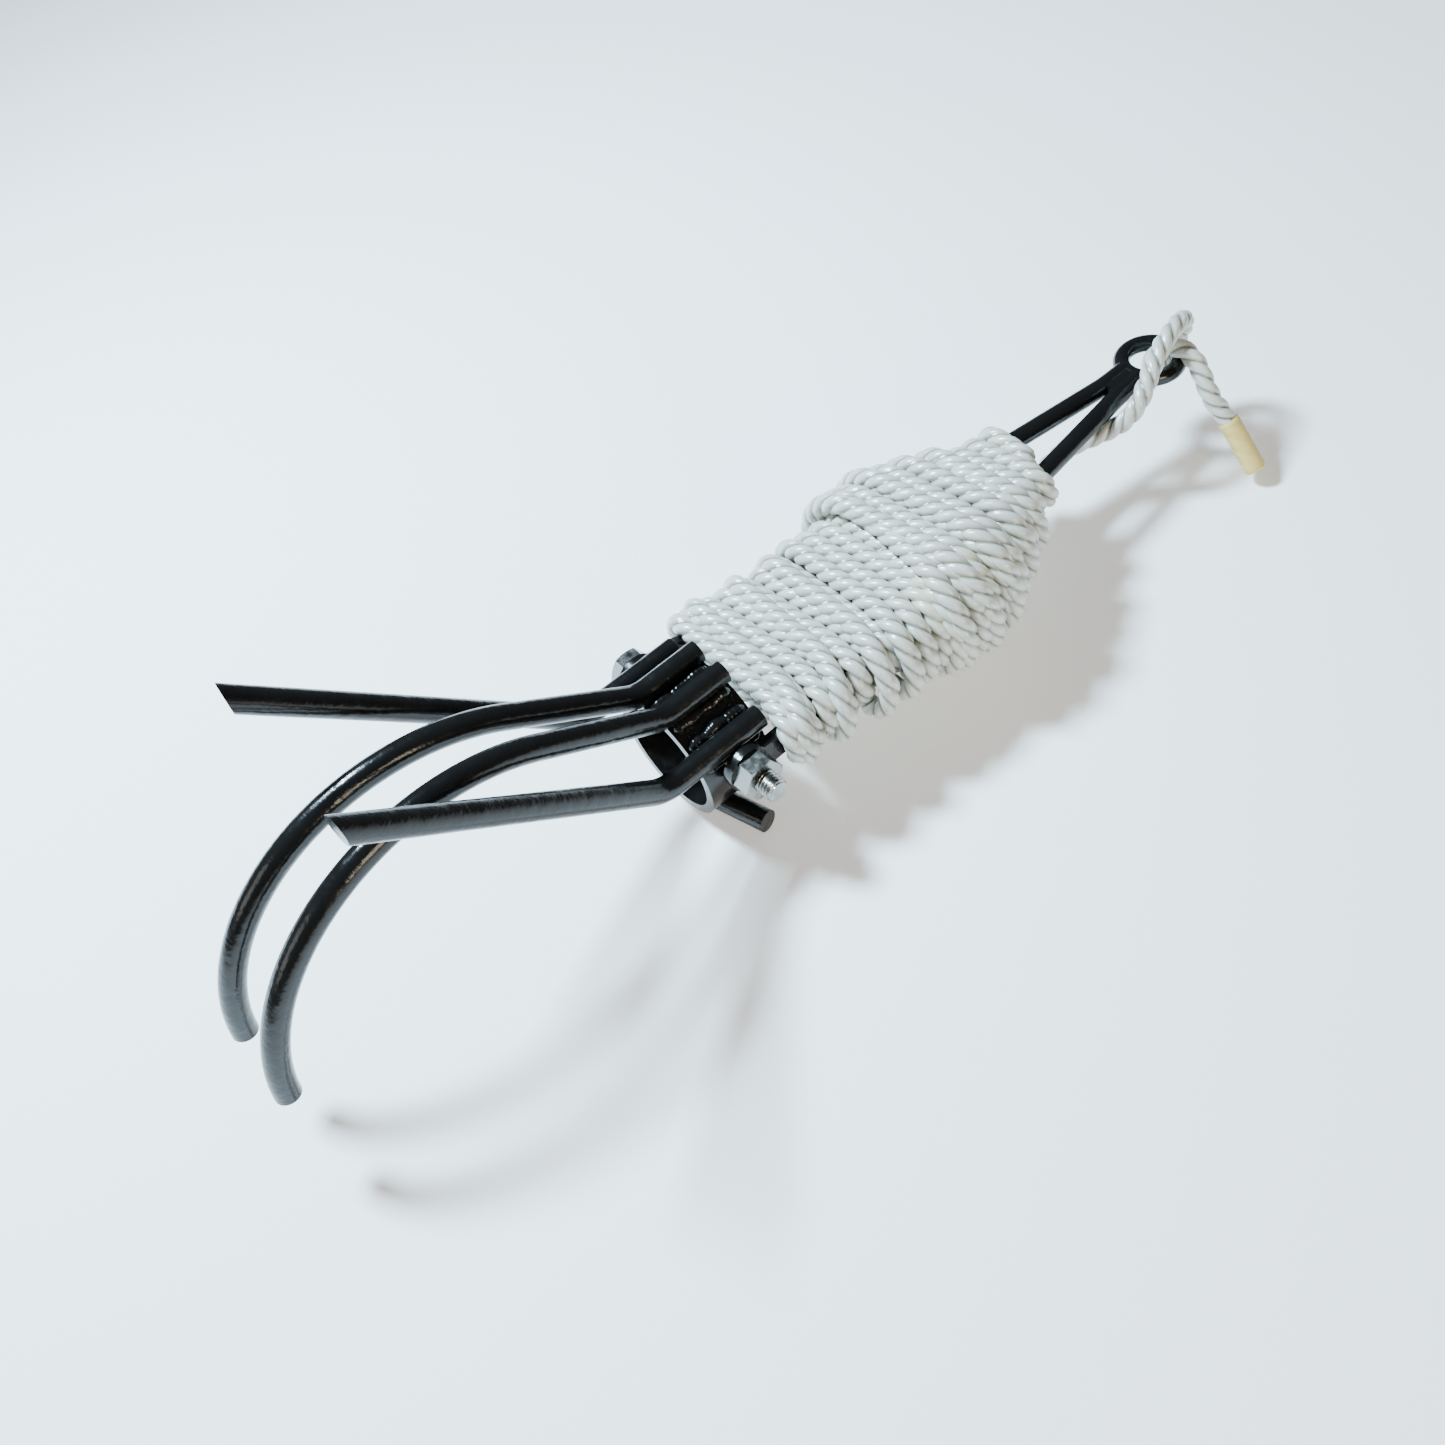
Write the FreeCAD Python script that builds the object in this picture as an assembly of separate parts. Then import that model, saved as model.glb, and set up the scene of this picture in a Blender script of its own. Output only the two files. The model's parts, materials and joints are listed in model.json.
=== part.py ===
"""Folding grapnel anchor with its line wound on the shank.

Frame, in millimetres: the origin is the centre of the eye ring, +X runs from the
crown to the eye, +Y is the anchor's left side, +Z is up. The shank's two legs lie
in the plane z = 0, and the pivot bolt runs along Y.
"""
import FreeCAD, Part
import math
import os

V = FreeCAD.Vector

# Driving dimensions -----------------------------------------------------------
pivot_to_eye = 220.0        # pivot bolt axis to the centre of the eye ring
tine_bar = 8.0              # diameter of the tine and stop bars
leg_bar = 7.0               # diameter of the shank legs
ring_bar = 6.0              # diameter of the eye ring's bar
rope_d = 7.0                # diameter of the three-strand line

hub_od = 44.5               # crown tube, outside diameter
hub_wall = 3.2
tine_over_bolt = 0.37       # clearance between the pivot bolt and the outer tines
hub_front = 12.5            # tube end beyond the pivot, crown side
hub_back = 12.0             # tube end on the eye side

bolt_d = 8.0                # pivot bolt
bolt_fit = 0.08            # radial running clearance round the bolt
bolt_head_af = 13.0
bolt_head_h = 5.3
nut_h = 6.5
bolt_stickout = 6.2         # thread showing beyond the nut

tine_back = 12.0            # rear ends of the tine bars, eye side of the pivot
inner_angle = 13.7          # seat of the inner tines round the tube, from the top
outer_angle = 52.8          # seat of the outer tines round the tube, from the top
inner_bend_x = 12.4         # where the inner tines turn up, beyond the pivot
outer_bend_x = 26.3         # where the outer tines turn up, beyond the pivot
inner_turn_up = 34.0        # how far the inner tines turn up, in degrees
outer_turn_up = 44.1
tine_bend_r = 13.0          # centre-line radius of that turn
inner_straight = 48.8       # straight stretch before the hook
hook_r = 70.0               # centre-line radius of the hook
hook_turn = 115.0           # how far the hook turns down, in degrees
outer_length = 117.5        # straight outer tine beyond its bend
inner_splay = 2.8           # sideways spread of the tines, in degrees
outer_splay = 6.1
bevel = 42.0                # bevel cut on the outer tine points, in degrees

weld_r = 2.0                # radius of the weld beads
weld_set = 0.6              # bead centre above the surfaces that it joins
weld_gap = 0.5              # beads stop this far short of the bolt

stop_right = 27.0           # stop bar beyond the middle plane, to the right
stop_left = 12.0            # and to the left
stop_x = -4.5               # middle of the stop bar, from the pivot
stop_skew = 14.0            # stop bar off square, in degrees
stop_sink = 0.4             # stop bar ground into the tube by this much

lug_t = 3.6                 # flattened end of a leg
lug_r = 8.0                 # its round end
lug_half_h = 4.5            # half height of its strap
lug_side = 0.3              # side clearance between a lug and the outer tine
strap_end = 15.0            # end of the flat strap, eye side of the pivot
taper_end = 20.0            # where the leg is round again
legs_meet = 21.0            # legs touch this far before the eye centre
ring_r = 10.1               # centre-line radius of the eye ring
neck_gap = 0.4              # legs stand this far apart in the neck
web_half_t = 2.7            # half thickness of the weld that fills the neck
web_lead = 1.5             # the weld starts this far before the legs meet

coil_start = 14.5           # line wound from here to coil_end, from the pivot
coil_end = 149.0
tape_t = 0.35               # whipping tape round the end of the line
tape_len = 20.0

# Half thickness of the winding in layers of line, and how far it hangs down to the
# right of the legs, at equal steps from the crown end.
coil_layers = [1.0, 1.05, 1.3, 2.0, 2.3, 1.85, 1.35, 1.0]
coil_hang = [0.0, 2.0, 4.5, 5.0, 4.6, 4.0, 3.0, 2.0]
hang_angle = 39.0           # direction of the hang below the level of the legs, degrees

# Route of the line from the winding to its taped end. It runs under the near
# leg, up beside the neck and over the eye, back in a tight bight round the end of
# the ring, up through the eye under itself, and out over the near side.
rope_route = [
    (coil_end - pivot_to_eye, -3.2, -8.5),
    (-61.0, -2.2, -8.9),
    (-50.5, -1.2, -9.2),
    (-41.5, -1.6, -9.6),
    (-33.5, -5.6, -9.0),
    (-28.0, -11.8, -4.0),
    (-23.5, -14.2, 2.6),
    (-15.5, -11.6, 8.0),
    (-6.5, -8.2, 12.0),
    (2.5, -6.5, 14.6),
    (10.4, -4.4, 13.6),
    (16.6, -1.6, 8.2),
    (18.5, 0.9, 0.0),
    (15.2, 2.3, -6.8),
    (8.9, 2.5, -9.0),
    (2.9, 1.7, -6.3),
    (0.6, 0.1, -0.3),
    (3.3, -3.5, 5.7),
    (5.1, -10.8, 7.2),
    (5.1, -17.3, 2.1),
    (3.8, -21.7, -3.3),
    (3.5, -25.7, -8.5),
    (6.6, -31.8, -17.0),
]
tape_tip = (5.6, -44.6, -31.4)

# Worked-out sizes ---------------------------------------------------------------
hub_r = hub_od / 2
tine_r = tine_bar / 2
leg_r = leg_bar / 2
rope_r = rope_d / 2
bolt_r = bolt_d / 2
seat_r = hub_r + tine_r                     # tine axes round the tube axis
outer_rise = seat_r * math.cos(math.radians(outer_angle))
hub_drop = outer_rise - bolt_r - tine_r - tine_over_bolt    # tube axis below the pivot
outer_y = seat_r * math.sin(math.radians(outer_angle))
lug_in = outer_y + tine_r + lug_side        # inner face of a lug
lug_y = lug_in + lug_t / 2                  # middle of a lug and of a leg there
nut_in = lug_in + lug_t                     # nut and head bear here
neck_x = pivot_to_eye - legs_meet
neck_y = leg_r + neck_gap / 2               # a leg's axis beside the neck
legs_slope = (lug_y - neck_y) / (neck_x - taper_end)


def shifted(shape):
    """Moves a shape from the pivot's frame to the eye's frame."""
    shape.translate(V(-pivot_to_eye, 0, 0))
    return shape


def rounded_path(points, radii):
    """A wire of straight runs joined by tangent arcs, one radius per inner point."""
    pts = [V(*p) for p in points]
    edges = []
    last = pts[0]
    for i in range(1, len(pts) - 1):
        into = (pts[i] - pts[i - 1]).normalize()
        away = (pts[i + 1] - pts[i]).normalize()
        turn = into.getAngle(away)
        back = radii[i - 1] * math.tan(turn / 2)
        start = pts[i] - into * back
        end = pts[i] + away * back
        inward = (away - into).normalize()
        mid = pts[i] + inward * (radii[i - 1] / math.cos(turn / 2) - radii[i - 1])
        edges.append(Part.LineSegment(last, start).toShape())
        edges.append(Part.Arc(start, mid, end).toShape())
        last = end
    edges.append(Part.LineSegment(last, pts[-1]).toShape())
    return Part.Wire(edges)


def bar_along(path, diameter):
    """A round bar of the given diameter along a wire."""
    first = path.Edges[0]
    start = first.Vertexes[0].Point
    heading = first.tangentAt(first.FirstParameter)
    ring = Part.Wire([Part.makeCircle(diameter / 2, start, heading)])
    return path.makePipeShell([ring], True, False)


def rod(start, direction, length, radius):
    """A plain cylinder from a point along a direction."""
    return Part.makeCylinder(radius, length, V(*start), V(*direction))


def hexagon(across_flats, height, y_low):
    """A hexagonal block on the pivot axis, with its two ends chamfered."""
    radius = across_flats / math.sqrt(3)
    corners = [V(radius * math.cos(math.radians(60 * k)), y_low,
                 radius * math.sin(math.radians(60 * k))) for k in range(7)]
    block = Part.Face(Part.makePolygon(corners)).extrude(V(0, height, 0))
    flat = radius * 0.9
    spread = flat + height * 2
    low = Part.makeCone(flat, spread, height * 1.1, V(0, y_low, 0), V(0, 1, 0))
    high = Part.makeCone(flat, spread, height * 1.1, V(0, y_low + height, 0), V(0, -1, 0))
    return block.common(low).common(high)


def seat(angle, side):
    """Height and sideways place of a tine's axis at this angle round the tube."""
    a = math.radians(angle)
    return side * seat_r * math.sin(a), seat_r * math.cos(a) - hub_drop


parts = {}

# Crown tube ---------------------------------------------------------------------
hub_len = hub_front + hub_back
hub_solid = rod((-hub_front, 0, -hub_drop), (1, 0, 0), hub_len, hub_r)
hub_bore = rod((-hub_front - 1, 0, -hub_drop), (1, 0, 0), hub_len + 2, hub_r - hub_wall)
bolt_hole = rod((0, -hub_od, 0), (0, 1, 0), 2 * hub_od, bolt_r + bolt_fit)
parts["hub_tube"] = hub_solid.cut(hub_bore).cut(bolt_hole)

# Tines ----------------------------------------------------------------------------


def tine_path(bend_x, y, z, turn_up, splay, lengths, turns, radii):
    """Bar axis: back end, bend at the tube's mouth, then each further straight and turn."""
    side = math.copysign(1, y)
    sway = math.radians(splay)
    out = V(-math.cos(sway), side * math.sin(sway), 0)
    points = [V(tine_back, y, z), V(-bend_x, y, z)]
    angle = math.radians(turn_up)
    for length, turn in zip(lengths, turns):
        step = out * math.cos(angle) + V(0, 0, math.sin(angle))
        points.append(points[-1] + step * length)
        angle -= math.radians(turn)
    return rounded_path(points, radii), step


hook_reach = hook_r * math.tan(math.radians(hook_turn) / 2)
tines = {}
for name, side in (("left", 1), ("right", -1)):
    y, z = seat(inner_angle, side)
    path, heading = tine_path(inner_bend_x, y, z, inner_turn_up, inner_splay,
                              [inner_straight + hook_reach, hook_reach + 0.5],
                              [hook_turn, 0], [tine_bend_r, hook_r])
    tines["inner_" + name] = bar_along(path, tine_bar)
    y, z = seat(outer_angle, side)
    path, heading = tine_path(outer_bend_x, y, z, outer_turn_up, outer_splay,
                              [outer_length + tine_r], [0], [tine_bend_r])
    bar = bar_along(path, tine_bar)
    tip = path.Vertexes[-1].Point
    slant = math.radians(bevel)
    top = V(0, 0, 1) - heading * heading.z
    normal = heading * math.cos(slant) - top.normalize() * math.sin(slant)
    cutter = Part.makeBox(60, 60, 30, V(-30, -30, 0))
    cutter.Placement = FreeCAD.Placement(tip - heading * tine_r,
                                         FreeCAD.Rotation(V(0, 0, 1), normal))
    tines["outer_" + name] = bar.cut(cutter)
for name, bar in tines.items():
    parts["tine_" + name] = bar

# Weld beads, one each side of every tine, along the tube --------------------------
bead_r = hub_r + weld_set
reach = tine_r + weld_set
bead_turn = math.degrees(math.acos(
    (bead_r ** 2 + seat_r ** 2 - reach ** 2) / (2 * bead_r * seat_r)))
bolt_room = rod((0, -hub_od, 0), (0, 1, 0), 2 * hub_od, bolt_r + bolt_fit + weld_gap)
weld_length = hub_len - 2.0
for name, angle, side in (("inner_left", inner_angle, 1), ("inner_right", inner_angle, -1),
                          ("outer_left", outer_angle, 1), ("outer_right", outer_angle, -1)):
    beads = []
    for offset in (-bead_turn, bead_turn):
        a = math.radians(angle + offset)
        place = (-hub_front + 1.0, side * bead_r * math.sin(a), bead_r * math.cos(a) - hub_drop)
        bead = rod(place, (1, 0, 0), weld_length, weld_r)
        beads.append(bead.cut(hub_solid).cut(tines[name]).cut(bolt_room))
    parts["weld_" + name] = Part.makeCompound(beads)

# Stop bar across the underside ------------------------------------------------------
stop_z = -hub_drop - hub_r - tine_r + stop_sink
skew = math.radians(stop_skew)
across = V(math.sin(skew), -math.cos(skew), 0)
stop_start = V(stop_x, 0, stop_z) - across * stop_left
stop_bar = Part.makeCylinder(tine_r, stop_left + stop_right, stop_start, across).cut(hub_solid)
parts["stop_bar"] = stop_bar
stop_weld = rod((stop_x, 0, stop_z), (0, 0, 1), tine_r + 2.0, tine_r + weld_r / 2)
parts["weld_stop_bar"] = stop_weld.cut(stop_bar).cut(hub_solid)

# Pivot bolt and nut -------------------------------------------------------------------
bolt_tip = nut_in + nut_h + bolt_stickout
shaft = rod((0, -bolt_tip, 0), (0, 1, 0), bolt_tip + nut_in + 1.0, bolt_r)
shaft = shaft.makeChamfer(0.8, [e for e in shaft.Edges
                                if e.BoundBox.YMax < -bolt_tip + 0.01])
parts["pivot_bolt"] = shaft.fuse(hexagon(bolt_head_af, bolt_head_h, nut_in)).removeSplitter()
nut = hexagon(bolt_head_af, nut_h, -nut_in - nut_h)
parts["pivot_nut"] = nut.cut(rod((0, -bolt_tip - 1, 0), (0, 1, 0), bolt_tip, bolt_r))

# Eye ring and shank legs ----------------------------------------------------------------
eye_ring = Part.makeTorus(ring_r, ring_bar / 2, V(pivot_to_eye, 0, 0), V(0, 0, 1))
parts["eye_ring"] = eye_ring
hole = rod((0, -hub_od, 0), (0, 1, 0), 2 * hub_od, bolt_r + bolt_fit)
legs = {}
for name, side in (("left", 1), ("right", -1)):
    y_low = side * lug_y - lug_t / 2
    disc = rod((0, y_low, 0), (0, 1, 0), lug_t, lug_r)
    strap = Part.makeBox(strap_end, lug_t, 2 * lug_half_h, V(0, y_low, -lug_half_h))
    flat_end = Part.makePolygon([V(strap_end, side * lug_y + dy, dz) for dy, dz in (
        (-lug_t / 2, -lug_half_h), (lug_t / 2, -lug_half_h), (lug_t / 2, lug_half_h),
        (-lug_t / 2, lug_half_h), (-lug_t / 2, -lug_half_h))])
    round_end = Part.Wire([Part.makeCircle(leg_r, V(taper_end, side * lug_y, 0), V(1, 0, 0))])
    taper = Part.makeLoft([flat_end, round_end], True, True)
    path = rounded_path([(taper_end, side * lug_y, 0), (taper_end + 3, side * lug_y, 0),
                         (neck_x, side * neck_y, 0), (pivot_to_eye - ring_r, side * neck_y, 0)],
                        [16.0, 60.0])
    leg = disc.fuse(strap).fuse(taper).fuse(bar_along(path, leg_bar))
    legs[name] = leg.removeSplitter().cut(hole).cut(eye_ring)
    parts["leg_" + name] = legs[name]

web_y = neck_y + legs_slope * web_lead
web_outline = [(neck_x - web_lead, web_y), (neck_x, neck_y), (pivot_to_eye - ring_r / 2, neck_y)]
web_outline += [(x, -y) for x, y in reversed(web_outline)]
web_points = [V(x, y, -web_half_t) for x, y in web_outline]
web = Part.Face(Part.makePolygon(web_points + web_points[:1])).extrude(V(0, 0, 2 * web_half_t))
hole_clear = rod((pivot_to_eye, 0, -9), (0, 0, 1), 18, ring_r)
web = web.cut(hole_clear).cut(eye_ring).cut(legs["left"]).cut(legs["right"])
parts["weld_neck"] = web

for name in parts:
    parts[name] = shifted(parts[name])

# Winding of line round both legs ------------------------------------------------------------


def leg_y_at(x):
    """Sideways place of a leg's axis at a distance from the pivot."""
    return min(lug_y, max(neck_y, lug_y - (x - taper_end) * legs_slope))


sections = []
count = len(coil_layers)
for k in range(count):
    x = coil_start + (coil_end - coil_start) * k / (count - 1)
    thick = leg_r + rope_d * coil_layers[k]
    half_width = leg_y_at(x) + thick
    flat = half_width - thick
    y = -coil_hang[k] * math.cos(math.radians(hang_angle))
    z = -coil_hang[k] * math.sin(math.radians(hang_angle))
    top = Part.LineSegment(V(x, y - flat, z + thick), V(x, y + flat, z + thick)).toShape()
    left = Part.Arc(V(x, y + flat, z + thick), V(x, y + half_width, z),
                    V(x, y + flat, z - thick)).toShape()
    low = Part.LineSegment(V(x, y + flat, z - thick), V(x, y - flat, z - thick)).toShape()
    right = Part.Arc(V(x, y - flat, z - thick), V(x, y - half_width, z),
                     V(x, y - flat, z + thick)).toShape()
    sections.append(Part.Wire([top, left, low, right]))
coil = shifted(Part.makeLoft(sections, True, True))
parts["rope_coil"] = coil.cut(parts["leg_left"]).cut(parts["leg_right"])

# Free line and its taped end ------------------------------------------------------------------
route = [V(*p) for p in rope_route]
tape_run = V(*tape_tip) - route[-1]
radii = []
for i in range(1, len(route) - 1):
    into = route[i] - route[i - 1]
    away = route[i + 1] - route[i]
    shorter = min(into.Length, away.Length)
    radii.append(0.45 * shorter / math.tan(into.getAngle(away) / 2))
rope_path = rounded_path(rope_route, radii)
parts["rope_run"] = bar_along(rope_path, rope_d)
section_volume = math.pi * rope_r ** 2 * rope_path.Length
print("line radii", [round(r, 1) for r in radii])
print("line length %.0f, volume %.0f of %.0f" % (
    rope_path.Length, parts["rope_run"].Volume, section_volume))
heading = rope_path.Edges[-1].tangentAt(rope_path.Edges[-1].LastParameter)
parts["rope_end_tape"] = Part.makeCylinder(rope_r + tape_t, tape_len, route[-1], heading)

os.makedirs("parts", exist_ok=True)
for name, shape in parts.items():
    if not shape.isValid():
        print("not valid:", name)
    shape.exportStep("parts/%s.step" % name)
    box = shape.BoundBox
    print("%-18s solids %d volume %8.0f x %.1f..%.1f y %.1f..%.1f z %.1f..%.1f" % (
        name, len(shape.Solids), shape.Volume, box.XMin, box.XMax, box.YMin, box.YMax,
        box.ZMin, box.ZMax))
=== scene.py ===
"""Looks of a folding grapnel anchor: black painted steel, zinc fasteners and a wound line."""
import json
import math

import bpy
import numpy as np
from mathutils import Matrix, Vector


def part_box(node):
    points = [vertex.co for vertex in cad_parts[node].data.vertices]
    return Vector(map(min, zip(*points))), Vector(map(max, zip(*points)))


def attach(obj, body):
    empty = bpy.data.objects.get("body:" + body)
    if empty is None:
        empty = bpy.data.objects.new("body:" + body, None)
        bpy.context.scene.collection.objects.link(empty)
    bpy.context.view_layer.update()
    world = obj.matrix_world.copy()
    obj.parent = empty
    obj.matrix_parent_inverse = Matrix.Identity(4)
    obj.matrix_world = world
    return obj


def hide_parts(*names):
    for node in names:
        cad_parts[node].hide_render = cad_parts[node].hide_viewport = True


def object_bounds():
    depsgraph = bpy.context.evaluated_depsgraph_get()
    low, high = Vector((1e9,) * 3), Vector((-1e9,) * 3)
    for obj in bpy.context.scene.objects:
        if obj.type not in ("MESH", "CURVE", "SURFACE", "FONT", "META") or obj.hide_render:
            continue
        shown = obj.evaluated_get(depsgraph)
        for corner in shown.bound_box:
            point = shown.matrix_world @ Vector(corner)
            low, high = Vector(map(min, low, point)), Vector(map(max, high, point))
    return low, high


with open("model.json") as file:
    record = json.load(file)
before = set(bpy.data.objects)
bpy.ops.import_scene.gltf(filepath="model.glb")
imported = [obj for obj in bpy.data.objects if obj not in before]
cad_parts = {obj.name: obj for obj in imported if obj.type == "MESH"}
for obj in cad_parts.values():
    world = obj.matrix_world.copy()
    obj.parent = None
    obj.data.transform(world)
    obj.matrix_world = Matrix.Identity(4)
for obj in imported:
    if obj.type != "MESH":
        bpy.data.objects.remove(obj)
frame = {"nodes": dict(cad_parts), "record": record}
size_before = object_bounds()
EYE_TO_PIVOT = 0.220


# Camera ---------------------------------------------------------------------------
# High over the crown's right side, looking along the shank towards the eye.
camera_data = bpy.data.cameras.new("camera")
camera_data.lens = 34.88
camera_data.sensor_width = 36.0
camera_data.clip_start = 0.01
camera = bpy.data.objects.new("camera", camera_data)
across = Vector((0.7489, -0.6368, -0.1831))
upward = Vector((0.5939, 0.5226, 0.6117))
behind = across.cross(upward)
turned_to = Matrix((across, upward, behind)).transposed()
camera.matrix_world = Matrix.Translation((-0.3437, -0.2580, 0.3392)) @ turned_to.to_4x4()
bpy.context.scene.collection.objects.link(camera)
bpy.context.scene.camera = camera


# Shared shape makers ----------------------------------------------------------------


def surface(name, points, closed_round=True, uv=None, attributes=None, caps=False):
    """A mesh over a grid of points (rows, columns, 3): each square of the grid is one
    face, and the columns join up into a ring when closed_round is set. uv and the
    attributes are arrays with one entry for each grid point."""
    rows, cols = points.shape[:2]
    index = np.arange(rows * cols).reshape(rows, cols)
    right = np.roll(index, -1, axis=1)
    if not closed_round:
        index_left, right = index[:, :-1], index[:, 1:]
    else:
        index_left = index
    quads = np.stack([index_left[:-1], right[:-1], right[1:], index_left[1:]], -1)
    faces = quads.reshape(-1, 4).tolist()
    if caps:
        faces.append(index[0][::-1].tolist())
        faces.append(index[-1].tolist())
    mesh = bpy.data.meshes.new(name)
    mesh.from_pydata(points.reshape(-1, 3).tolist(), [], faces)
    mesh.shade_smooth()
    corner = np.zeros(len(mesh.loops), np.int32)
    mesh.loops.foreach_get("vertex_index", corner)
    if uv is not None:
        layer = mesh.uv_layers.new(name="UVMap")
        layer.data.foreach_set("uv", uv.reshape(-1, 2)[corner].astype(np.float32).ravel())
    for key, values in (attributes or {}).items():
        field = mesh.attributes.new(key, "FLOAT", "POINT")
        field.data.foreach_set("value", values.astype(np.float32).ravel())
    mesh.update()
    piece = bpy.data.objects.new(name, mesh)
    bpy.context.scene.collection.objects.link(piece)
    return piece


def even_steps(points, step):
    """The same path with points one step apart, measured along it."""
    lengths = np.r_[0, np.cumsum(np.linalg.norm(np.diff(points, axis=0), axis=1))]
    count = max(2, int(round(lengths[-1] / step)) + 1)
    at = np.linspace(0, lengths[-1], count)
    return np.stack([np.interp(at, lengths, points[:, k]) for k in range(3)], 1), at


def carried_frames(path):
    """Two unit vectors square to the path at each point, carried along it so that they
    never spin about it: each is the last one with its part along the path taken off."""
    tangent = np.gradient(path, axis=0)
    tangent /= np.linalg.norm(tangent, axis=1, keepdims=True)
    side = np.cross(tangent[0], (0.0, 0.0, 1.0))
    if np.linalg.norm(side) < 0.1:
        side = np.cross(tangent[0], (0.0, 1.0, 0.0))
    sides = np.zeros_like(path)
    for i, heading in enumerate(tangent):
        side = side - heading * side.dot(heading)
        side = side / np.linalg.norm(side)
        sides[i] = side
    return sides, np.cross(tangent, sides)


def swept(path, angle, radius):
    """Grid of points round a path: path + radius * (side cos(angle) + other sin(angle))."""
    side, other = carried_frames(path)
    ring = (side[:, None] * np.cos(angle)[..., None]
            + other[:, None] * np.sin(angle)[..., None])
    return path[:, None] + ring * radius[..., None]


# Line -------------------------------------------------------------------------------
# 7 mm three-strand nylon with a left-hand lay. It is wound round both legs in layers,
# then leads over the eye ring, back through it in a bight, and ends in a taped tip.
LINE_D = 0.007
LINE_R = LINE_D / 2
LAY = -0.0178           # length in which a strand goes once round; minus for a left-hand lay
LEG_R = 0.0035

# The open run, from where it leaves the winding to the taped tip.
route = [
    (-0.0710, -0.0032, -0.0085),
    (-0.0610, -0.0022, -0.0089),
    (-0.0505, -0.0012, -0.0092),
    (-0.0415, -0.0016, -0.0096),
    (-0.0335, -0.0056, -0.0090),
    (-0.0280, -0.0118, -0.0040),
    (-0.0235, -0.0142, 0.0026),
    (-0.0155, -0.0116, 0.0080),
    (-0.0065, -0.0082, 0.0120),
    (0.0025, -0.0065, 0.0146),
    (0.0104, -0.0044, 0.0136),
    (0.0166, -0.0016, 0.0082),
    (0.0185, 0.0009, 0.0000),
    (0.0152, 0.0023, -0.0068),
    (0.0089, 0.0025, -0.0090),
    (0.0029, 0.0017, -0.0063),
    (0.0006, 0.0001, -0.0003),
    (0.0033, -0.0035, 0.0057),
    (0.0051, -0.0108, 0.0072),
    (0.0051, -0.0173, 0.0021),
    (0.0038, -0.0217, -0.0033),
    (0.0035, -0.0257, -0.0085),
    (0.0066, -0.0318, -0.0170),
    (0.0056, -0.0446, -0.0314),
]
route = np.array(route)

# The winding as (turn, place along the shank from the pivot in mm, layer). The first
# layer runs the whole length, the second goes back over it, the third covers the middle,
# and the last turns cross them on a slant.
winding = np.array([
    (0.0, 149.0, 1.0),
    (0.35, 152.0, 1.0),
    (0.9, 145.0, 1.0),
    (19.0, 20.0, 1.0),
    (20.0, 25.5, 1.35),
    (21.9, 55.0, 1.75),
    (23.0, 65.0, 2.0),
    (32.8, 131.0, 1.9),
    (34.0, 118.0, 2.5),
    (34.8, 110.0, 2.8),
    (38.9, 82.0, 2.9),
    (39.8, 105.0, 3.2),
    (40.8, 93.0, 3.3),
    (41.6, 78.0, 2.9),
    (42.1, 84.0, 2.0),
])
random = np.random.default_rng(7)
POINTS_PER_TURN = 18
HANG = math.radians(39)


def leg_spread(x):
    """Distance of a leg's axis from the middle plane, x along the shank in mm."""
    return np.interp(x, [23.0, 194.0], [27.0, 3.7])


def wound_turns():
    """Points of the wound line, from the end tucked under the crossing turns down to the
    first layer, which leads on to the eye. Each turn is a straight run over both legs,
    an arc round one, a run below and an arc round the other, in mm:
    y = +-(leg spread) + depth cos(a), z = depth sin(a). The depth is the leg's radius,
    and half a line, and a line for each layer below. Outer turns hang a little."""
    packed = 0.97           # layers sink into each other by this factor
    arc_ease = 1.02         # the arcs stand this much proud, so the runs lie flat between
    lean_most = 6.5         # how far the turns beside the crown lean towards it
    turn = np.arange(0, winding[-1, 0], 1 / POINTS_PER_TURN)
    along = np.interp(turn, winding[:, 0], winding[:, 1])
    layer = np.interp(turn, winding[:, 0], winding[:, 2])
    whole = np.floor(turn).astype(int)
    share = turn - whole
    lean = random.normal(0, 0.14, whole.max() + 2)
    puff = random.normal(0, 0.25, whole.max() + 2)
    along = along + lean[whole] * (1 - share) + lean[whole + 1] * share
    depth = 1000 * LEG_R + 1000 * LINE_D * packed * (layer - 0.5)
    depth = depth + puff[whole] * (1 - share) + puff[whole + 1] * share
    hang = np.interp(along, [14, 33, 52, 72, 90, 110, 130, 149],
                     [0, 2, 4.5, 5, 4.6, 4, 3, 2])
    hang = hang * np.clip(layer - 0.7, 0.25, 1)
    spread = leg_spread(along)
    # Three points lie on the run over the legs, six go round a leg, and so on below.
    step = np.arange(len(turn)) % POINTS_PER_TURN
    half = step % 9
    flip = np.where(step < 9, 1.0, -1.0)
    corner = np.radians(105.0 - 30.0 * (half - 2))
    on_run = half < 3
    y = np.where(on_run, spread * (-0.62 + 0.62 * half),
                 spread + arc_ease * depth * np.cos(corner))
    z = np.where(on_run, depth, arc_ease * depth * np.sin(corner))
    y = flip * y - hang * math.cos(HANG)
    z = flip * z - hang * math.sin(HANG)
    # The turns beside the crown lean towards it near the nut, clear of the tines.
    near = np.clip((100.0 - along) / 80.0, 0, 1) * np.clip((-y - 22.0) / 10.0, 0, 1)
    x = along - lean_most * near - 1000 * EYE_TO_PIVOT
    return np.stack([x, y, z], 1)[::-1] / 1000


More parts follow.
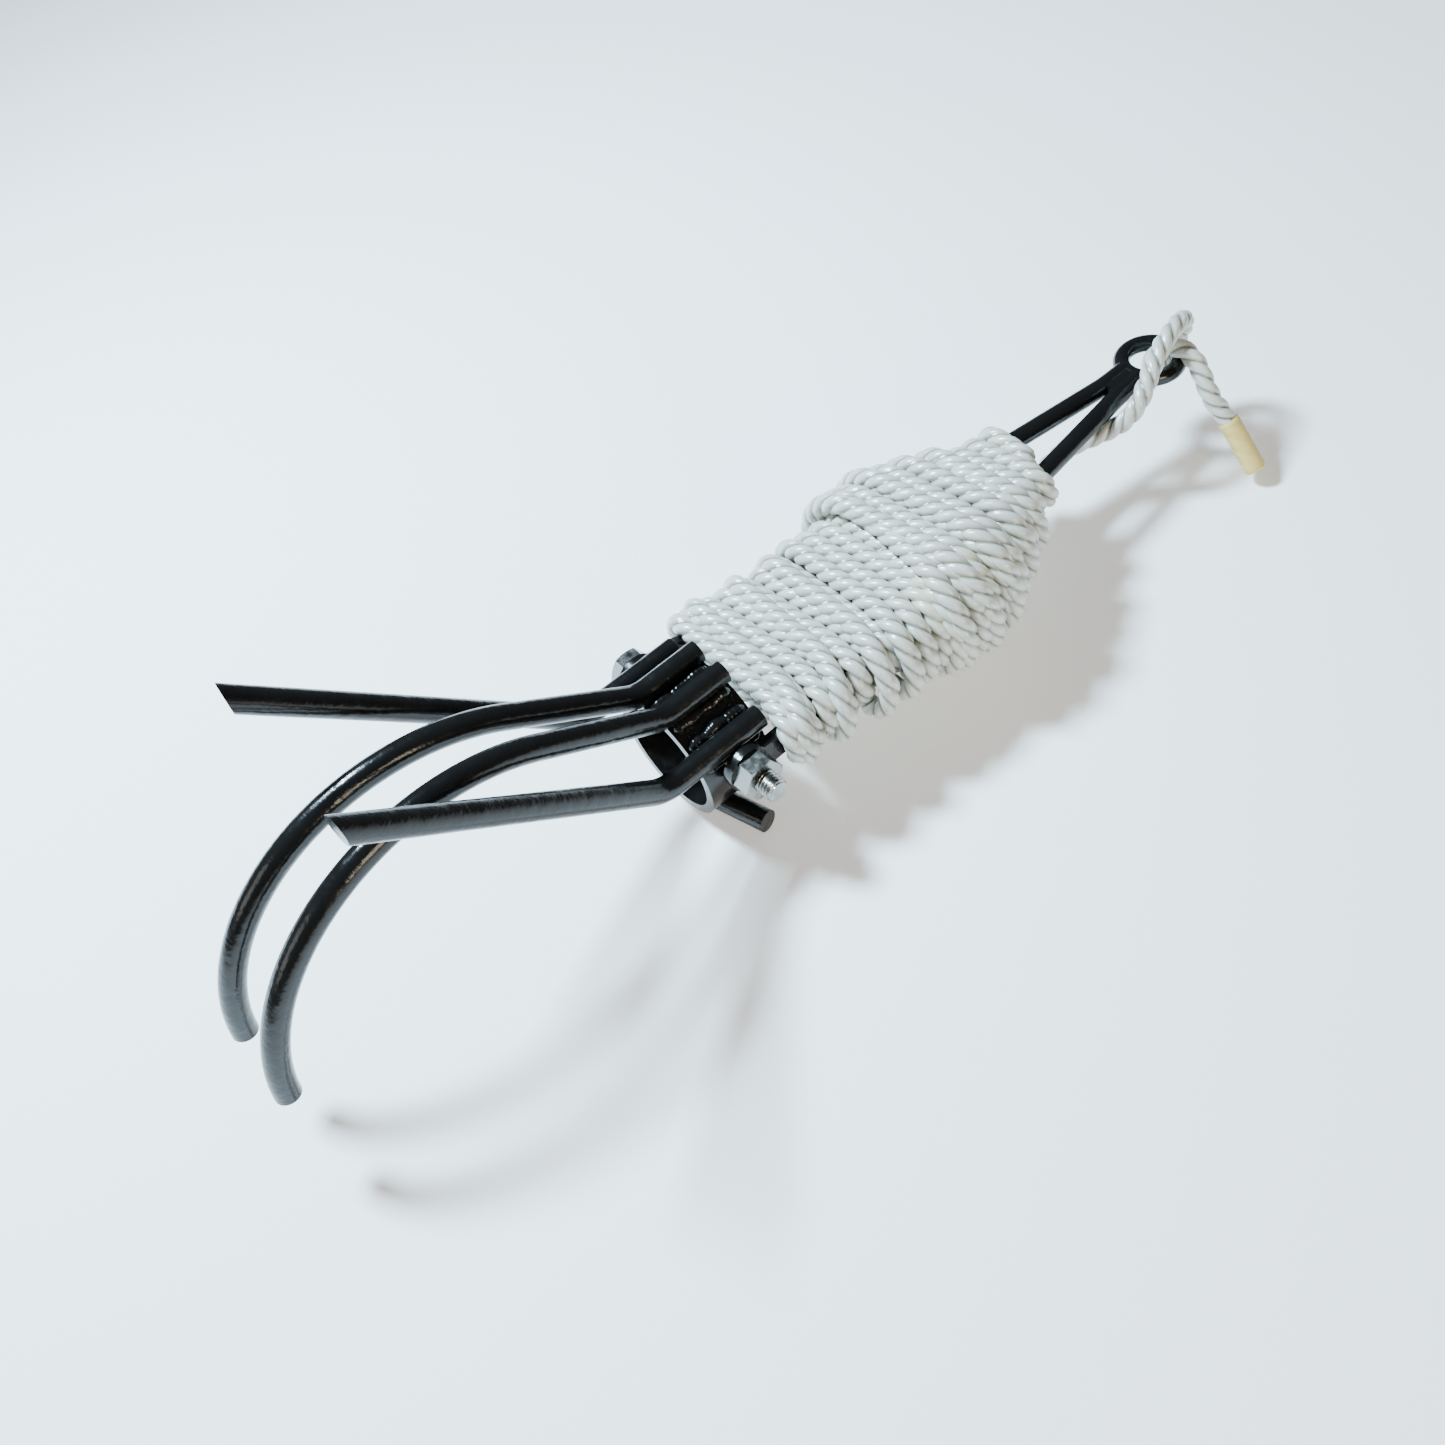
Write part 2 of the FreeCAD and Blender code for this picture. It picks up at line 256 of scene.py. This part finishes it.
line_points = np.concatenate([wound_turns(), route])
curve = bpy.data.curves.new("line_route", "CURVE")
curve.dimensions = "3D"
spline = curve.splines.new("NURBS")
spline.points.add(len(line_points) - 1)
spline.points.foreach_set("co", np.c_[line_points, np.ones(len(line_points))].ravel())
spline.order_u = 3
spline.use_endpoint_u = True
spline.resolution_u = 6
line_curve = bpy.data.objects.new("line_route", curve)
bpy.context.scene.collection.objects.link(line_curve)
bpy.context.view_layer.update()
line_mesh = bpy.data.meshes.new_from_object(line_curve)
traced = np.array([v.co[:] for v in line_mesh.vertices])
bpy.data.objects.remove(line_curve)
bpy.data.meshes.remove(line_mesh)

centre, along_line = even_steps(traced, 0.0016)
line_length = float(along_line[-1])
twist = along_line / LAY * 2 * math.pi
strand = np.arange(18) / 18 * 2 * math.pi
angle = strand[None] + twist[:, None]
crest = np.abs(np.cos(1.5 * strand)) ** 0.7
radius = LINE_R * (0.74 + 0.29 * crest)[None] + np.zeros((len(centre), 1))
grid = swept(centre, angle, radius)
line_uv = np.stack([angle / (2 * math.pi),
                    np.broadcast_to(along_line[:, None] / 0.018, angle.shape)], -1)
line = surface("line", grid, uv=line_uv, caps=True,
               attributes={"crest": np.broadcast_to(crest[None], angle.shape)})
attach(line, "shank")
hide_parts("rope_coil", "rope_run")


# Tape on the line's tip ----------------------------------------------------------------
# Cloth tape rolled round the last 22 mm of the line. It follows the strands a little
# and is creased where it was pressed on.
TAPE_LENGTH = 0.0222
on_tape = along_line > line_length - TAPE_LENGTH
tip = centre[on_tape]
tip_along = along_line[on_tape]
tip = np.concatenate([tip, tip[-1:] + (tip[-1] - tip[-2]) * 0.4])
tip_along = np.append(tip_along, tip_along[-1] + 0.0006)
tape_turn = np.arange(36) / 36 * 2 * math.pi
tape_angle = tape_turn[None] + (tip_along / LAY * 2 * math.pi)[:, None]
tape_crest = np.abs(np.cos(1.5 * tape_turn))
tape_radius = LINE_R * (1.02 + 0.06 * tape_crest)[None] + np.zeros((len(tip), 1))
tape_radius[-1] *= 0.9
edge = (tape_angle - tape_angle[:, :1]) / (2 * math.pi)
tape_radius += 0.00012 * edge
CREASE_HEIGHT = 0.00007
crease_starts = np.random.default_rng(5).uniform(0, 6.28, 3)
for waves, slant, start in zip((900.0, 1500.0, 2300.0), (1.0, -2.0, 3.0), crease_starts):
    crease = np.sin(waves * tip_along[:, None] + slant * tape_angle + start)
    tape_radius += CREASE_HEIGHT * np.clip(crease, 0, 1) ** 2
tape_grid = swept(tip, tape_angle, tape_radius)
tape_uv = np.stack([edge, np.broadcast_to(tip_along[:, None], edge.shape) / 0.02], -1)
tape = surface("tape", tape_grid, uv=tape_uv, caps=True)
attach(tape, "shank")
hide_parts("rope_end_tape")


# Pivot bolt -------------------------------------------------------------------------
# A zinc plated M8 bolt, turned with its thread cut as real ridges. The hexagon head is
# on the left and five threads show past the nut.
bolt_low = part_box("pivot_bolt")[0][1]
head_low, head_high = 0.0288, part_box("pivot_bolt")[1][1]
around = np.arange(96) / 96 * 2 * math.pi
hexagon = 0.0065 / np.cos((around + math.pi / 6) % (math.pi / 3) - math.pi / 6)


def bolt_radius(y):
    """Radius round the bolt at y: a ridge of pitch 1.25 mm that winds up the thread,
    plain shank further in, and the smaller of hexagon and 30 degree cone on the head."""
    if y < -0.020:
        phase = (y / 0.00125 - around / (2 * math.pi)) % 1.0
        ridge = 1 - np.abs(phase * 2 - 1)
        full = 0.0040 - 0.00078 * np.clip(1.25 - 1.5 * ridge, 0, 1)
        return np.minimum(full, 0.0034 + (y - bolt_low) * 0.8)
    if y < head_low:
        return np.full(96, 0.0040)
    room = min(y - head_low, head_high - y)
    return np.minimum(hexagon, 0.0065 + 0.0001 + max(room, 0) * 1.73)


bolt_rows = np.r_[np.arange(bolt_low, -0.020, 0.0001), -0.0199, head_low - 1e-6,
                  np.linspace(head_low, head_high, 24)]
bolt_r = np.array([bolt_radius(y) for y in bolt_rows])
bolt_r = np.concatenate([bolt_r[:1] * 0.02, bolt_r, bolt_r[-1:] * 0.02])
bolt_rows = np.r_[bolt_low, bolt_rows, head_high]
bolt_grid = np.stack([bolt_r * np.sin(around) - EYE_TO_PIVOT,
                      np.repeat(bolt_rows[:, None], len(around), 1),
                      bolt_r * np.cos(around)], -1)
bolt = surface("bolt", bolt_grid)
bolt.data.set_sharp_from_angle(angle=math.radians(38))
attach(bolt, "shank")
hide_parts("pivot_bolt")


# Welds ----------------------------------------------------------------------------------
# Hand-laid beads in the corners between the tines and the crown tube, with the ripples
# of the arc. They are painted over with the rest.
HUB_R = 0.02225
HUB_DROP = 0.0075


def bead(name, path, thickness, seed):
    """A lumpy weld: thickness * (1 + ripples along it + slow swelling), tapered ends."""
    path, run = even_steps(path, 0.0003)
    luck = np.random.default_rng(seed)
    swell = np.interp(run, np.linspace(0, run[-1], 9), luck.normal(0, 0.16, 9))
    spin = np.arange(20) / 20 * 2 * math.pi
    phase = luck.uniform(0, 6)
    ripple = 0.08 * np.abs(np.sin(run[:, None] / 0.0016 * math.pi + 0.5 * np.cos(spin) + phase))
    taper = np.clip(np.minimum(run, run[-1] - run) / thickness, 0.02, 1) ** 0.5
    radius = thickness * (0.92 + swell[:, None] + ripple) * taper[:, None]
    wander = np.interp(run, np.linspace(0, run[-1], 7), luck.normal(0, 0.0003, 7))
    path = path + np.array([0, 0, 1.0]) * wander[:, None]
    made = surface(name, swept(path, np.broadcast_to(spin, radius.shape), radius), caps=True)
    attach(made, "claw")
    return made


def seam(angle_deg, side, low, high):
    """A straight run along the tube at this angle from its top."""
    a = math.radians(angle_deg)
    r = HUB_R + 0.0006
    ends = np.array([low, high]) / 1000 - EYE_TO_PIVOT
    return np.array([(x, side * r * math.sin(a), r * math.cos(a) - HUB_DROP) for x in ends])


welds = []
BEAD_ASIDE = 10.9       # degrees round the tube from a tine's foot to its beads
for k, (tine, angle_deg, side) in enumerate((
        ("inner_left", 13.7, 1), ("inner_right", 13.7, -1),
        ("outer_left", 52.8, 1), ("outer_right", 52.8, -1))):
    up = seam(angle_deg - BEAD_ASIDE, side, -11.5, 11.0)
    down = seam(angle_deg + BEAD_ASIDE, side, -11.5, 11.0)
    first = bead("weld_%s_up" % tine, up, 0.0021, 3 * k)
    second = bead("weld_%s_down" % tine, down, 0.0021, 3 * k + 1)
    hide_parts("weld_" + tine)
    welds += [first, second]


# Weld spatter -----------------------------------------------------------------------
# Beads of steel that the arc threw on the top of the tube, half sunk and painted over.
drops = np.random.default_rng(21)
count = 150
place_x = drops.uniform(-10.5, 10.0, count) / 1000 - EYE_TO_PIVOT
place_a = np.radians(drops.choice([-33.0, 0.0, 33.0], count, p=[0.3, 0.45, 0.25])
                     + drops.normal(0, 4.5, count))
drop_r = drops.gamma(2.2, 0.00011, count).clip(0.00012, 0.0007)
lat = np.linspace(0.02, math.pi - 0.02, 8)
lon = np.arange(12) / 12 * 2 * math.pi
ball = np.stack([np.sin(lat)[:, None] * np.cos(lon), np.sin(lat)[:, None] * np.sin(lon),
                 np.cos(lat)[:, None] + 0 * lon], -1)
middles = np.stack([place_x, HUB_R * np.sin(place_a),
                    HUB_R * np.cos(place_a) - HUB_DROP], 1)
spatter_points = middles[:, None, None] + ball[None] * drop_r[:, None, None, None]
square = np.arange(len(lat) * len(lon)).reshape(len(lat), len(lon))
quads = np.stack([square[:-1], np.roll(square, -1, 1)[:-1], np.roll(square, -1, 1)[1:],
                  square[1:]], -1).reshape(-1, 4)
quads = (quads[None] + square.size * np.arange(count)[:, None, None]).reshape(-1, 4)
spatter_mesh = bpy.data.meshes.new("spatter")
spatter_mesh.from_pydata(spatter_points.reshape(-1, 3).tolist(), [], quads.tolist())
spatter_mesh.shade_smooth()
spatter = bpy.data.objects.new("spatter", spatter_mesh)
bpy.context.scene.collection.objects.link(spatter)
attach(spatter, "claw")
welds.append(spatter)


# Paint ------------------------------------------------------------------------------------
# Small helpers for shader nodes, then one maker for each finish: dipped black enamel,
# zinc plate, nylon yarn and cloth tape. All are laid on object space or the UV.


def new_material(name):
    """A material, its nodes, its links and its shader."""
    made = bpy.data.materials.new(name)
    made.use_nodes = True
    tree = made.node_tree
    return made, tree.nodes, tree.links, tree.nodes["Principled BSDF"]


def noise(nodes, links, source, scale, detail=4.0, roughness=0.55):
    """A noise texture on the given coordinates."""
    node = nodes.new("ShaderNodeTexNoise")
    node.inputs["Scale"].default_value = scale
    node.inputs["Detail"].default_value = detail
    node.inputs["Roughness"].default_value = roughness
    links.new(source, node.inputs["Vector"])
    return node.outputs["Fac"]


def ramp(nodes, links, source, low, high, start=0.0, end=1.0):
    """Maps source from low..high to start..end."""
    node = nodes.new("ShaderNodeMapRange")
    node.inputs["From Min"].default_value = low
    node.inputs["From Max"].default_value = high
    node.inputs["To Min"].default_value = start
    node.inputs["To Max"].default_value = end
    links.new(source, node.inputs["Value"])
    return node.outputs["Result"]


def blend_colours(nodes, links, factor, first, second):
    """A mix of two colours, either of which may be a socket."""
    node = nodes.new("ShaderNodeMix")
    node.data_type = "RGBA"
    links.new(factor, node.inputs["Factor"])
    for key, value in ((6, first), (7, second)):
        if isinstance(value, tuple):
            node.inputs[key].default_value = (*value, 1)
        else:
            links.new(value, node.inputs[key])
    return node.outputs[2]


def bump(nodes, links, height, strength, distance, under=None):
    """A bump from a height, on top of an earlier one."""
    node = nodes.new("ShaderNodeBump")
    node.inputs["Strength"].default_value = strength
    node.inputs["Distance"].default_value = distance
    links.new(height, node.inputs["Height"])
    if under is not None:
        links.new(under, node.inputs["Normal"])
    return node.outputs["Normal"]


def black_paint():
    """Dipped black enamel: glossy, slightly wavy, with dust specks and duller patches."""
    made, nodes, links, shader = new_material("black_paint")
    place = nodes.new("ShaderNodeTexCoord").outputs["Object"]
    patches = noise(nodes, links, place, 45.0)
    links.new(blend_colours(nodes, links, patches, (0.003, 0.003, 0.003), (0.008, 0.008, 0.008)),
              shader.inputs["Base Color"])
    wear = noise(nodes, links, place, 160.0, 6.0, 0.7)
    links.new(ramp(nodes, links, wear, 0.3, 0.7, 0.12, 0.26), shader.inputs["Roughness"])
    wavy = bump(nodes, links, noise(nodes, links, place, 260.0, 2.0), 0.35, 0.0006)
    fine = bump(nodes, links, noise(nodes, links, place, 1800.0, 2.0), 0.12, 0.0002, wavy)
    links.new(fine, shader.inputs["Normal"])
    shader.inputs["Specular IOR Level"].default_value = 0.42
    return made


def zinc():
    """Bright zinc plate with a faint mottle, duller in patches."""
    made, nodes, links, shader = new_material("zinc")
    place = nodes.new("ShaderNodeTexCoord").outputs["Object"]
    mottle = noise(nodes, links, place, 420.0, 5.0, 0.6)
    links.new(blend_colours(nodes, links, mottle, (0.20, 0.20, 0.19), (0.40, 0.40, 0.385)),
              shader.inputs["Base Color"])
    links.new(ramp(nodes, links, mottle, 0.3, 0.7, 0.16, 0.34), shader.inputs["Roughness"])
    links.new(bump(nodes, links, noise(nodes, links, place, 1500.0), 0.15, 0.0002),
              shader.inputs["Normal"])
    shader.inputs["Metallic"].default_value = 1.0
    return made


def nylon():
    """White nylon yarn: fine fibres along the line, painted shade darkening the valleys between
    strands, and a few yellowed spots."""
    made, nodes, links, shader = new_material("nylon_line")
    place = nodes.new("ShaderNodeTexCoord")
    height = nodes.new("ShaderNodeAttribute")
    height.attribute_name = "crest"
    crest_fac = height.outputs["Fac"]
    yarns = nodes.new("ShaderNodeMapping")
    yarns.inputs["Scale"].default_value = (30.0, 0.55, 1.0)
    links.new(place.outputs["UV"], yarns.inputs["Vector"])
    fibre = noise(nodes, links, yarns.outputs["Vector"], 2.0, 3.0, 0.65)
    dirt = noise(nodes, links, place.outputs["Object"], 34.0, 5.0, 0.6)
    tone = noise(nodes, links, place.outputs["Object"], 130.0, 3.0, 0.5)
    # Painted shade: where the crest attribute is low, in the valleys between strands, the yarn
    # colour is darkened towards (0.20, 0.19, 0.15).
    valley_shade = ramp(nodes, links, crest_fac, 0.05, 0.75, 0.0, 1.0)
    lit = blend_colours(nodes, links, tone, (0.60, 0.60, 0.54), (0.72, 0.72, 0.66))
    streaked = blend_colours(nodes, links, ramp(nodes, links, fibre, 0.35, 0.65, 0.0, 0.8),
                             lit, (0.42, 0.42, 0.35))
    body = blend_colours(nodes, links, valley_shade, (0.20, 0.19, 0.15), streaked)
    spots = ramp(nodes, links, dirt, 0.60, 0.74, 0.0, 0.6)
    body = blend_colours(nodes, links, spots, body, (0.66, 0.63, 0.40))
    links.new(body, shader.inputs["Base Color"])
    links.new(ramp(nodes, links, fibre, 0.25, 0.75, 0.18, 0.34), shader.inputs["Roughness"])
    links.new(bump(nodes, links, fibre, 0.7, 0.00010), shader.inputs["Normal"])
    shader.inputs["Specular IOR Level"].default_value = 1.0
    shader.inputs["Specular Tint"].default_value = (0.86, 0.94, 1.0, 1)
    shader.inputs["Anisotropic"].default_value = 0.5
    shader.inputs["Subsurface Weight"].default_value = 0.06
    shader.inputs["Subsurface Radius"].default_value = (0.002, 0.002, 0.0018)
    shader.inputs["Subsurface Scale"].default_value = 0.6
    shader.inputs["Sheen Weight"].default_value = 0.05
    return made


def cloth_tape():
    """Pale yellow cloth tape with a fine weave and grubby patches."""
    made, nodes, links, shader = new_material("cloth_tape")
    place = nodes.new("ShaderNodeTexCoord")
    grime = noise(nodes, links, place.outputs["Object"], 240.0, 5.0, 0.6)
    links.new(blend_colours(nodes, links, grime, (0.74, 0.56, 0.18), (0.58, 0.43, 0.13)),
              shader.inputs["Base Color"])
    weave = nodes.new("ShaderNodeTexWave")
    weave.inputs["Scale"].default_value = 22.0
    weave.bands_direction = "Y"
    links.new(place.outputs["UV"], weave.inputs["Vector"])
    links.new(bump(nodes, links, weave.outputs["Fac"], 0.25, 0.0002), shader.inputs["Normal"])
    shader.inputs["Roughness"].default_value = 0.55
    return made


paint = black_paint()
plated = zinc()
rope_look = nylon()
tape_look = cloth_tape()
line.data.materials.append(rope_look)
tape.data.materials.append(tape_look)
bolt.data.materials.append(plated)
for weld in welds:
    weld.data.materials.append(paint)
finish_of = {"black_paint": paint, "zinc": plated, "line": rope_look, "tape": tape_look}
for part in frame["record"]["subparts"]:
    node = frame["nodes"][part["node"]]
    node.data.materials.clear()
    node.data.materials.append(finish_of[part["material_slot"]])


# Floor and light --------------------------------------------------------------------
# A pale sweep under the anchor, a broad cool light overhead and weak fills.
floor_z = size_before[0][2] - 0.0005
floor_mesh = bpy.data.meshes.new("floor")
floor_mesh.from_pydata([(-6, -6, floor_z), (6, -6, floor_z), (6, 6, floor_z), (-6, 6, floor_z)],
                       [], [(0, 1, 2, 3)])
floor = bpy.data.objects.new("floor", floor_mesh)
bpy.context.scene.collection.objects.link(floor)
floor_look, nodes, links, shader = new_material("floor")
shader.inputs["Base Color"].default_value = (0.95, 0.95, 0.95, 1)
shader.inputs["Emission Color"].default_value = (1, 1, 1, 1)
shader.inputs["Emission Strength"].default_value = 0.42
shader.inputs["Roughness"].default_value = 0.8
floor_mesh.materials.append(floor_look)


def softbox(name, place, aim, size, power, colour):
    """A square area light at a place, turned to its aim."""
    data = bpy.data.lights.new(name, "AREA")
    data.size = size
    data.energy = power
    data.color = colour
    lamp = bpy.data.objects.new(name, data)
    lamp.location = place
    lamp.rotation_euler = (Vector(aim) - Vector(place)).to_track_quat("-Z", "Y").to_euler()
    bpy.context.scene.collection.objects.link(lamp)


middle = (-0.19, 0.0, 0.0)
softbox("overhead", (-0.42, 0.42, 0.75), middle, 0.16, 36.0, (0.60, 0.83, 1.0))
softbox("fill_right", (-0.3, -1.0, 0.35), middle, 0.45, 6.5, (1.0, 0.87, 0.64))
softbox("crown_side", (-1.1, 0.1, 0.4), middle, 0.4, 1.2, (1.0, 0.98, 0.95))
world = bpy.data.worlds.new("studio")
world.use_nodes = True
world.node_tree.nodes["Background"].inputs["Color"].default_value = (1.0, 1.0, 1.0, 1)
world.node_tree.nodes["Background"].inputs["Strength"].default_value = 0.09
bpy.context.scene.world = world
